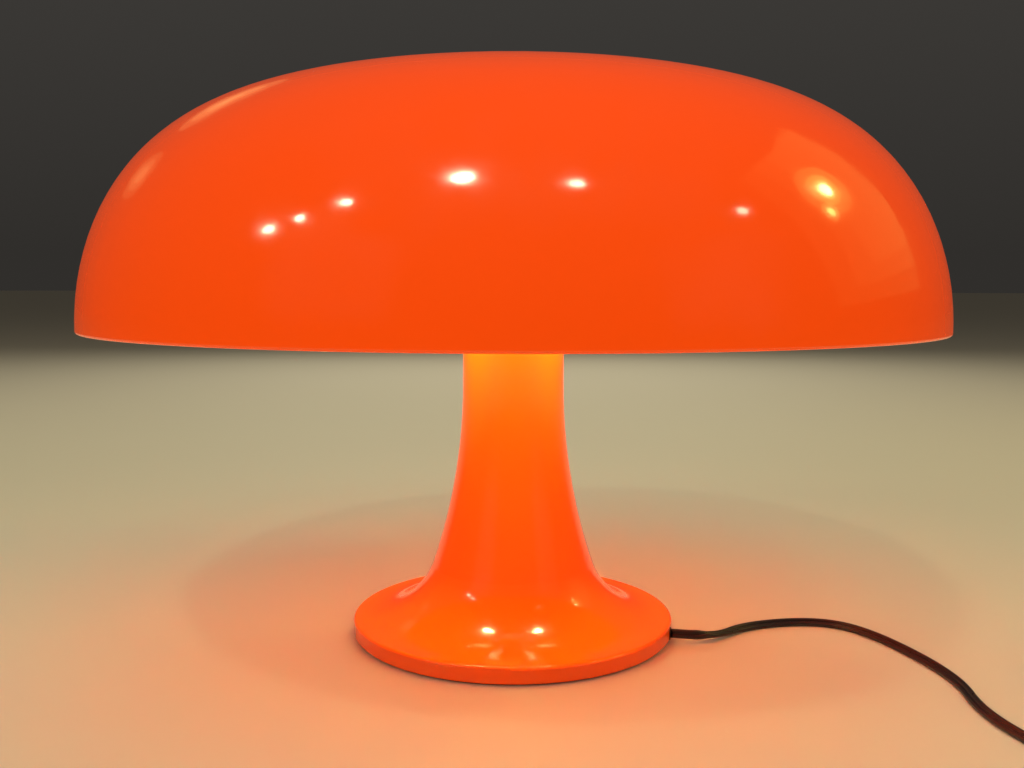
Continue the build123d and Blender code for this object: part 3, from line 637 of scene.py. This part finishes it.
rods = {
    "mount": [(56.5, 4.4), (58.0, 3.2), (60.5, 2.4), (64.0, 2.1), (70.6, 2.1), (71.9, 1.8), (72.35, 0.9)],
    "foot": (70.35, 1.4),  # where each rod's line starts: along the bulb, and out from its axis
    "head": (102.35, 5.9),
    "glowStart": 0.13,  # shares of that line
    "glowEnd": 0.94,
    "endLength": 0.035,
    "wireStop": 0.03,
    "glow": [(0, 0.4), (0.012, 0.68), (0.03, 0.8), (0.97, 0.8), (0.988, 0.68), (1, 0.4)],  # share, radius
    "end": [(0, 0.45), (1, 0.45)],
    "wire": [(0, 0.2), (1, 0.2)],
    "mountPoints": 24,
    "glowPoints": 14,
    "endPoints": 10,
    "wirePoints": 8,
    "hub": 101.0,
}


def bulbPoint(turn, along, across, above):
    angle = math.radians(turn)
    return ((along * math.cos(angle) - across * math.sin(angle)) / 1000,
            (along * math.sin(angle) + across * math.cos(angle)) / 1000, (cap["height"] + above) / 1000)


def threadRadiusAt(along, angle):
    fade = cap["threadFade"]
    faded = min(1.0, (along - cap["threadStart"]) / fade, (cap["threadEnd"] - along) / fade)
    wave = 0.5 - 0.5 * math.cos(math.tau * along / cap["threadPitch"] - angle)
    return cap["threadRadius"] - cap["threadDepth"] * (1 - faded + faded * wave)


def makeBulbCap(number, turn):
    rings = cap["tip"] + cap["insulator"] + cap["edge"]
    along = cap["threadStart"]
    while along < cap["threadEnd"]:
        rings.append((along, None))  # the thread's radius changes round the ring
        along += cap["threadStep"]
    rings += cap["collar"]
    corners = []
    for along, ringRadius in rings:
        for k in range(cap["around"]):
            angle = math.tau * k / cap["around"]
            radius = ringRadius or threadRadiusAt(along, angle)
            corners.append(bulbPoint(turn, along, radius * math.cos(angle), radius * math.sin(angle)))
    faces = ringFaces(len(rings), cap["around"])
    first, last = len(cap["tip"]), len(cap["tip"]) + len(cap["insulator"])
    faceSlots = [1 if first <= k // cap["around"] < last else 0 for k in range(len(faces) - 2)] + [0, 0]
    piece = meshPiece(f"bulbCap{number}", corners, faces, ["nickel", "black_moulding"],
                      f"bulb_{number}", faceSlots)
    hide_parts(f"bulb_cap_{number}")


def addBar(shape, slot, start, end, profile, around):  # profile: share of the bar's length, and radius
    corners, faces, faceSlots = shape
    start, end = Vector(start), Vector(end)
    way = (end - start).normalized()
    side = way.orthogonal().normalized()
    upright = way.cross(side)
    first = len(corners)
    for share, radius in profile:
        corners += [start.lerp(end, share) + (side * c + upright * s) * radius for c, s in circle(around)]
    rings = ringFaces(len(profile), around)
    faces += [tuple(first + corner for corner in ring) for ring in rings]
    faceSlots += [slot] * len(rings)


def makeBulbRods(number, turn):
    shape = ([], [], [])
    lit, glass, metal = 0, 1, 2  # the piece's material slots
    bottom, top, hub = rods["mount"][0][0], rods["mount"][-1][0], (rods["hub"], 0, 0)
    profile = [((along - bottom) / (top - bottom), radius) for along, radius in rods["mount"]]
    addBar(shape, glass, (bottom, 0, 0), (top, 0, 0), profile, rods["mountPoints"])
    wire, ends = (rods["wire"], rods["wirePoints"]), (rods["end"], rods["endPoints"])
    addBar(shape, metal, (top - 1, 0, 0), hub, *wire)  # from a little inside the mount
    for c, s in circle(4):
        foot, head = (Vector((along, out * c, out * s)) for along, out in (rods["foot"], rods["head"]))
        low, high = foot.lerp(head, rods["glowStart"]), foot.lerp(head, rods["glowEnd"])
        addBar(shape, lit, low, high, rods["glow"], rods["glowPoints"])
        addBar(shape, metal, foot.lerp(head, rods["glowStart"] - rods["endLength"]), low, *ends)
        addBar(shape, metal, high, foot.lerp(head, rods["glowEnd"] + rods["endLength"]), *ends)
        addBar(shape, metal, foot, foot.lerp(head, rods["glowStart"] - rods["wireStop"]), *wire)
        addBar(shape, metal, foot.lerp(head, rods["glowEnd"] + rods["wireStop"]), hub, *wire)
    corners = [bulbPoint(turn, *corner) for corner in shape[0]]
    piece = meshPiece(f"bulbRods{number}", corners, shape[1], ["filament_warm", "bulb_glass", "nickel"],
                      f"bulb_{number}", shape[2])
    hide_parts(f"bulb_filament_{number}")


for bulbNumber, bulbTurn in enumerate(cap["turns"], 1):
    makeBulbCap(bulbNumber, bulbTurn)
    makeBulbRods(bulbNumber, bulbTurn)
print("bulbs made")


# switch at the back of the foot: a knurled nut round the button, and behind it a coil of round wire,
# which on the real switch shortens as the button goes in; in mm
switchTilt = math.radians(33.1)  # the button's axis above level
pressWay = Vector((0, math.cos(switchTilt), math.sin(switchTilt)))
switchSide = Vector((1, 0, 0))
switchUp = pressWay.cross(switchSide)
nut = {
    # radius, height, and the share of the knurl's depth there
    "rings": [(5.0, 0, 0), (7.05, 0, 0), (7.5, 0.35, 1), (7.5, 1.45, 1), (7.0, 1.95, 0), (6.75, 2.2, 0),
              (5.55, 2.2, 0), (5.1, 1.9, 0), (5.0, 1.6, 0)],
    "knurled": (1, 2, 3),  # bands between those rings that stay sharp
    "height": 2.2,
    "teeth": 44,
    "pointsPerTooth": 4,  # half of them in the gap
    "toothDepth": 0.28,
}


def makeSwitchNut():
    low, high = (Vector(corner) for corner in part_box("switch_nut"))
    centre = (low + high) / 2
    perTooth = nut["pointsPerTooth"]
    around = nut["teeth"] * perTooth
    corners = []
    for radius, above, share in nut["rings"]:
        for k, (c, s) in enumerate(circle(around)):
            sunk = nut["toothDepth"] * share if k % perTooth >= perTooth // 2 else 0
            corners.append(centre + (switchSide * c + switchUp * s) * (radius - sunk) / 1000
                           + pressWay * (above - nut["height"] / 2) / 1000)
    piece = meshPiece("switchNut", corners, loopFaces(len(nut["rings"]), around), ["nickel"])
    for number, face in enumerate(piece.data.polygons):
        face.use_smooth = number // around not in nut["knurled"]
    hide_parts("switch_nut")


makeSwitchNut()
print("switch nut made")


spring = {
    "wireRadius": 0.42,
    "turns": 6,
    "pointsPerTurn": 20,
    "around": 8,
    "travel": 2.5,
}


def makeSwitchSpring():
    low, high = (Vector(corner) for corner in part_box("switch_spring"))
    centre = (low + high) / 2 * 1000
    outer = (high.x - low.x) / 2 * 1000
    length = ((high.y - low.y) * 1000 - 2 * outer * math.sin(switchTilt)) / math.cos(switchTilt)
    wire = spring["wireRadius"]
    radius, reach = outer - wire, length - 2 * wire
    count = spring["turns"] * spring["pointsPerTurn"]
    corners = []
    for k in range(count + 1):
        angle = math.tau * k / spring["pointsPerTurn"]
        out = switchSide * math.cos(angle) + switchUp * math.sin(angle)
        point = centre + out * radius + pressWay * (reach * k / count - reach / 2)
        corners += [(point + (out * c + pressWay * s) * wire) / 1000 for c, s in circle(spring["around"])]
    piece = meshPiece("switchSpring", corners, ringFaces(count + 1, spring["around"]), ["zinc_steel"])
    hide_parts("switch_spring")
    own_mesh(piece)
    print("switch spring made:", round(length, 2), "mm long")


makeSwitchSpring()


# studio
studio = {
    "floorRadius": 40.0,
    "floorPoints": 96,
    "floorRoughness": 0.5,
    # the floor is painted lighter near the lamp and darker away from it: painted light and shade
    "floorNearLit": paint(218, 210, 176),
    "floorFarShaded": paint(206, 195, 168),
    "fade": (1.0, 4.0),  # metres from the lamp, from the near colour to the far one
    "horizon": (0.030, 0.0275, 0.0245),
    "zenith": (0.085, 0.08, 0.073),
    "skyRise": (0.03, 0.95),  # heights in the sky, 0 to 1, where it starts to lighten and where it is full
    "softboxes": [  # place, size, watts; hidden in gloss, so that only the small lamps glint
        ((0.1, -0.6, 2.4), 3.2, 26),
        ((-1.9, -2.0, 1.1), 1.4, 13),
        ((2.1, -1.7, 1.0), 1.4, 11),
        ((0.0, 2.3, 1.5), 1.8, 22),
    ],
    "softColour": (1.0, 0.955, 0.89),
    "aim": (0, 0, 0.16),
    "spotHeight": 2.0,
    "spotColour": (1.0, 0.88, 0.60),
    # a row of small lamps: x, y, radius, watts
    "spots": [(-0.377, -1.248, 0.085, 6.0), (0.473, -1.338, 0.05, 1.5), (-1.513, -1.375, 0.06, 2.0),
              (-2.208, -1.399, 0.06, 2.0), (-2.832, -1.360, 0.08, 3.5), (2.198, -1.105, 0.06, 0.7)],
    # dim panels that the gloss shows: azimuth from the front, elevation, width, height, light
    "broadPanels": [(96, 28, 1.43, 1.62, (0.20, 0.12, 0.024)), (100, 30, 1.10, 1.44, (0.17, 0.10, 0.02)),
                    (104, 32, 0.78, 1.26, (0.15, 0.09, 0.018))],
    # round ones inside each other, so that their edges are soft
    "roundPanels": [
        (94.4, 34.7, 0.60, 0.50, (1.1, 0.7, 0.12)), (94.4, 34.7, 0.38, 0.32, (2.1, 1.4, 0.22)),
        (94.4, 34.7, 0.24, 0.20, (3.2, 2.4, 0.5)), (94.4, 34.7, 0.14, 0.12, (26, 22, 9)),
        (89, 29.8, 0.20, 0.18, (2.2, 1.5, 0.3)), (89, 29.8, 0.08, 0.07, (16, 12, 3)),
        (-147, 31, 0.62, 0.34, (0.26, 0.15, 0.05)), (-147, 31, 0.42, 0.22, (0.28, 0.16, 0.05)),
        (-147, 31, 0.22, 0.11, (0.30, 0.18, 0.06)), (-127, 24.4, 0.40, 0.34, (0.18, 0.11, 0.035)),
        (-127, 24.4, 0.27, 0.22, (0.2, 0.12, 0.04)), (-127, 24.4, 0.14, 0.12, (0.2, 0.13, 0.045)),
    ],
    "panelDistance": 2.2,
    "panelStep": 0.01,  # each panel is nearer than the one before, so that none hides in another
    "bulbPlace": 0.088,  # from the lamp's axis along each bulb
    "bulbHeight": 0.284,
    "bulbRadius": 0.007,
    "bulbWatts": 0.42,
    "bulbColour": (0.82, 0.82, 0.34),
    # what the stem and foot get from the bulbs besides, so close under them
    "stemPlace": 0.092,
    "stemHeight": 0.228,
    "stemRadius": 0.003,
    "stemWatts": 0.95,
}


def makeFloor():
    material, tree, shader = startMaterial("floorPale", {"Roughness": studio["floorRoughness"]})
    place = tree.nodes.new("ShaderNodeTexCoord")
    length = tree.nodes.new("ShaderNodeVectorMath")
    length.operation = "LENGTH"
    tree.links.new(place.outputs["Object"], length.inputs[0])
    # painted shade: the floor's colour darkens with distance from the lamp
    away = remap(tree, length.outputs["Value"], 0, 1, *studio["fade"])
    blendColours(tree, away, studio["floorNearLit"], studio["floorFarShaded"], shader.inputs["Base Color"])
    mesh = bpy.data.meshes.new("floor")
    radius = studio["floorRadius"]
    rim = [(radius * c, radius * s, 0) for c, s in circle(studio["floorPoints"])]
    mesh.from_pydata(rim, [], [tuple(range(len(rim)))])
    mesh.materials.append(material)
    floor = addObject("floor", mesh)


def makeSky():  # dim at the horizon and soft overhead, so that edges keep their own colour
    world = bpy.data.worlds.new("studio")
    world.use_nodes = True
    tree = world.node_tree
    place = tree.nodes.new("ShaderNodeTexCoord")
    split = tree.nodes.new("ShaderNodeSeparateXYZ")
    tree.links.new(place.outputs["Generated"], split.inputs["Vector"])
    rise = remap(tree, split.outputs["Z"], 0, 1, *studio["skyRise"])
    blendColours(tree, rise, studio["horizon"], studio["zenith"], tree.nodes["Background"].inputs["Color"])
    scene.world = world


def addLamp(name, place, size, watts, colour=(1, 1, 1), inGloss=True, shape="DISK", height=None):
    data = bpy.data.lights.new(name, "AREA")
    data.shape = shape
    data.size = size
    data.size_y = height or size
    data.energy = watts
    data.color = colour
    lamp = addObject(name, data)
    lamp.location = place
    lamp.rotation_mode = "QUATERNION"
    lamp.rotation_quaternion = (Vector(studio["aim"]) - Vector(place)).to_track_quat("-Z", "Y")
    lamp.visible_glossy = inGloss
    lamp.visible_camera = False


def makeLamps():
    for number, (place, size, watts) in enumerate(studio["softboxes"]):
        addLamp(f"softbox{number}", place, size, watts, studio["softColour"], inGloss=False, shape="SQUARE")
    for number, (x, y, radius, watts) in enumerate(studio["spots"]):
        addLamp(f"spot{number}", (x, y, studio["spotHeight"]), 2 * radius, watts, studio["spotColour"])
    panels = [(*row, "RECTANGLE") for row in studio["broadPanels"]]
    panels += [(*row, "ELLIPSE") for row in studio["roundPanels"]]
    for number, (azimuth, elevation, width, height, light, shape) in enumerate(panels):
        turn, rise = math.radians(azimuth), math.radians(elevation)
        way = Vector((math.sin(turn) * math.cos(rise), -math.cos(turn) * math.cos(rise), math.sin(rise)))
        away = studio["panelDistance"] - studio["panelStep"] * number
        strongest = max(light)
        area = width * height * (1 if shape == "RECTANGLE" else math.pi / 4)
        addLamp(f"panel{number}", Vector(studio["aim"]) + way * away, width, strongest * math.pi * area,
                colour=tuple(v / strongest for v in light), shape=shape, height=height)


def addBulbLight(name, away, height, turn, watts, radius, inGloss):
    data = bpy.data.lights.new(name, "POINT")
    data.energy = watts
    data.color = studio["bulbColour"]
    data.shadow_soft_size = radius
    light = addObject(name, data)
    angle = math.radians(turn)
    light.location = (away * math.cos(angle), away * math.sin(angle), height)
    light.visible_camera = False
    light.visible_glossy = inGloss
    return light


def makeBulbLight():  # what the four bulbs give off; their rods alone would be too few rays
    stemOnly = bpy.data.collections.new("stemOnly")
    stemOnly.objects.link(nodes["lamp_body"])
    # the lamps are inside the glass, which they would turn white
    notGlass = bpy.data.collections.new("notGlass")
    for number in range(1, 5):
        notGlass.objects.link(nodes[f"bulb_glass_{number}"])
    for member in notGlass.collection_objects:
        member.light_linking.link_state = "EXCLUDE"
    for number, turn in enumerate(cap["turns"], 1):
        inFront = turn > 180  # only these glint
        light = addBulbLight(f"bulbLight{number}", studio["bulbPlace"], studio["bulbHeight"], turn,
                             studio["bulbWatts"], studio["bulbRadius"], inFront)
        light.light_linking.receiver_collection = notGlass
        near = addBulbLight(f"stemLight{number}", studio["stemPlace"], studio["stemHeight"], turn,
                            studio["stemWatts"], studio["stemRadius"], inFront)
        near.light_linking.receiver_collection = stemOnly


def makeStudio():
    makeFloor()
    makeSky()
    makeLamps()
    makeBulbLight()


makeStudio()
print("studio made")
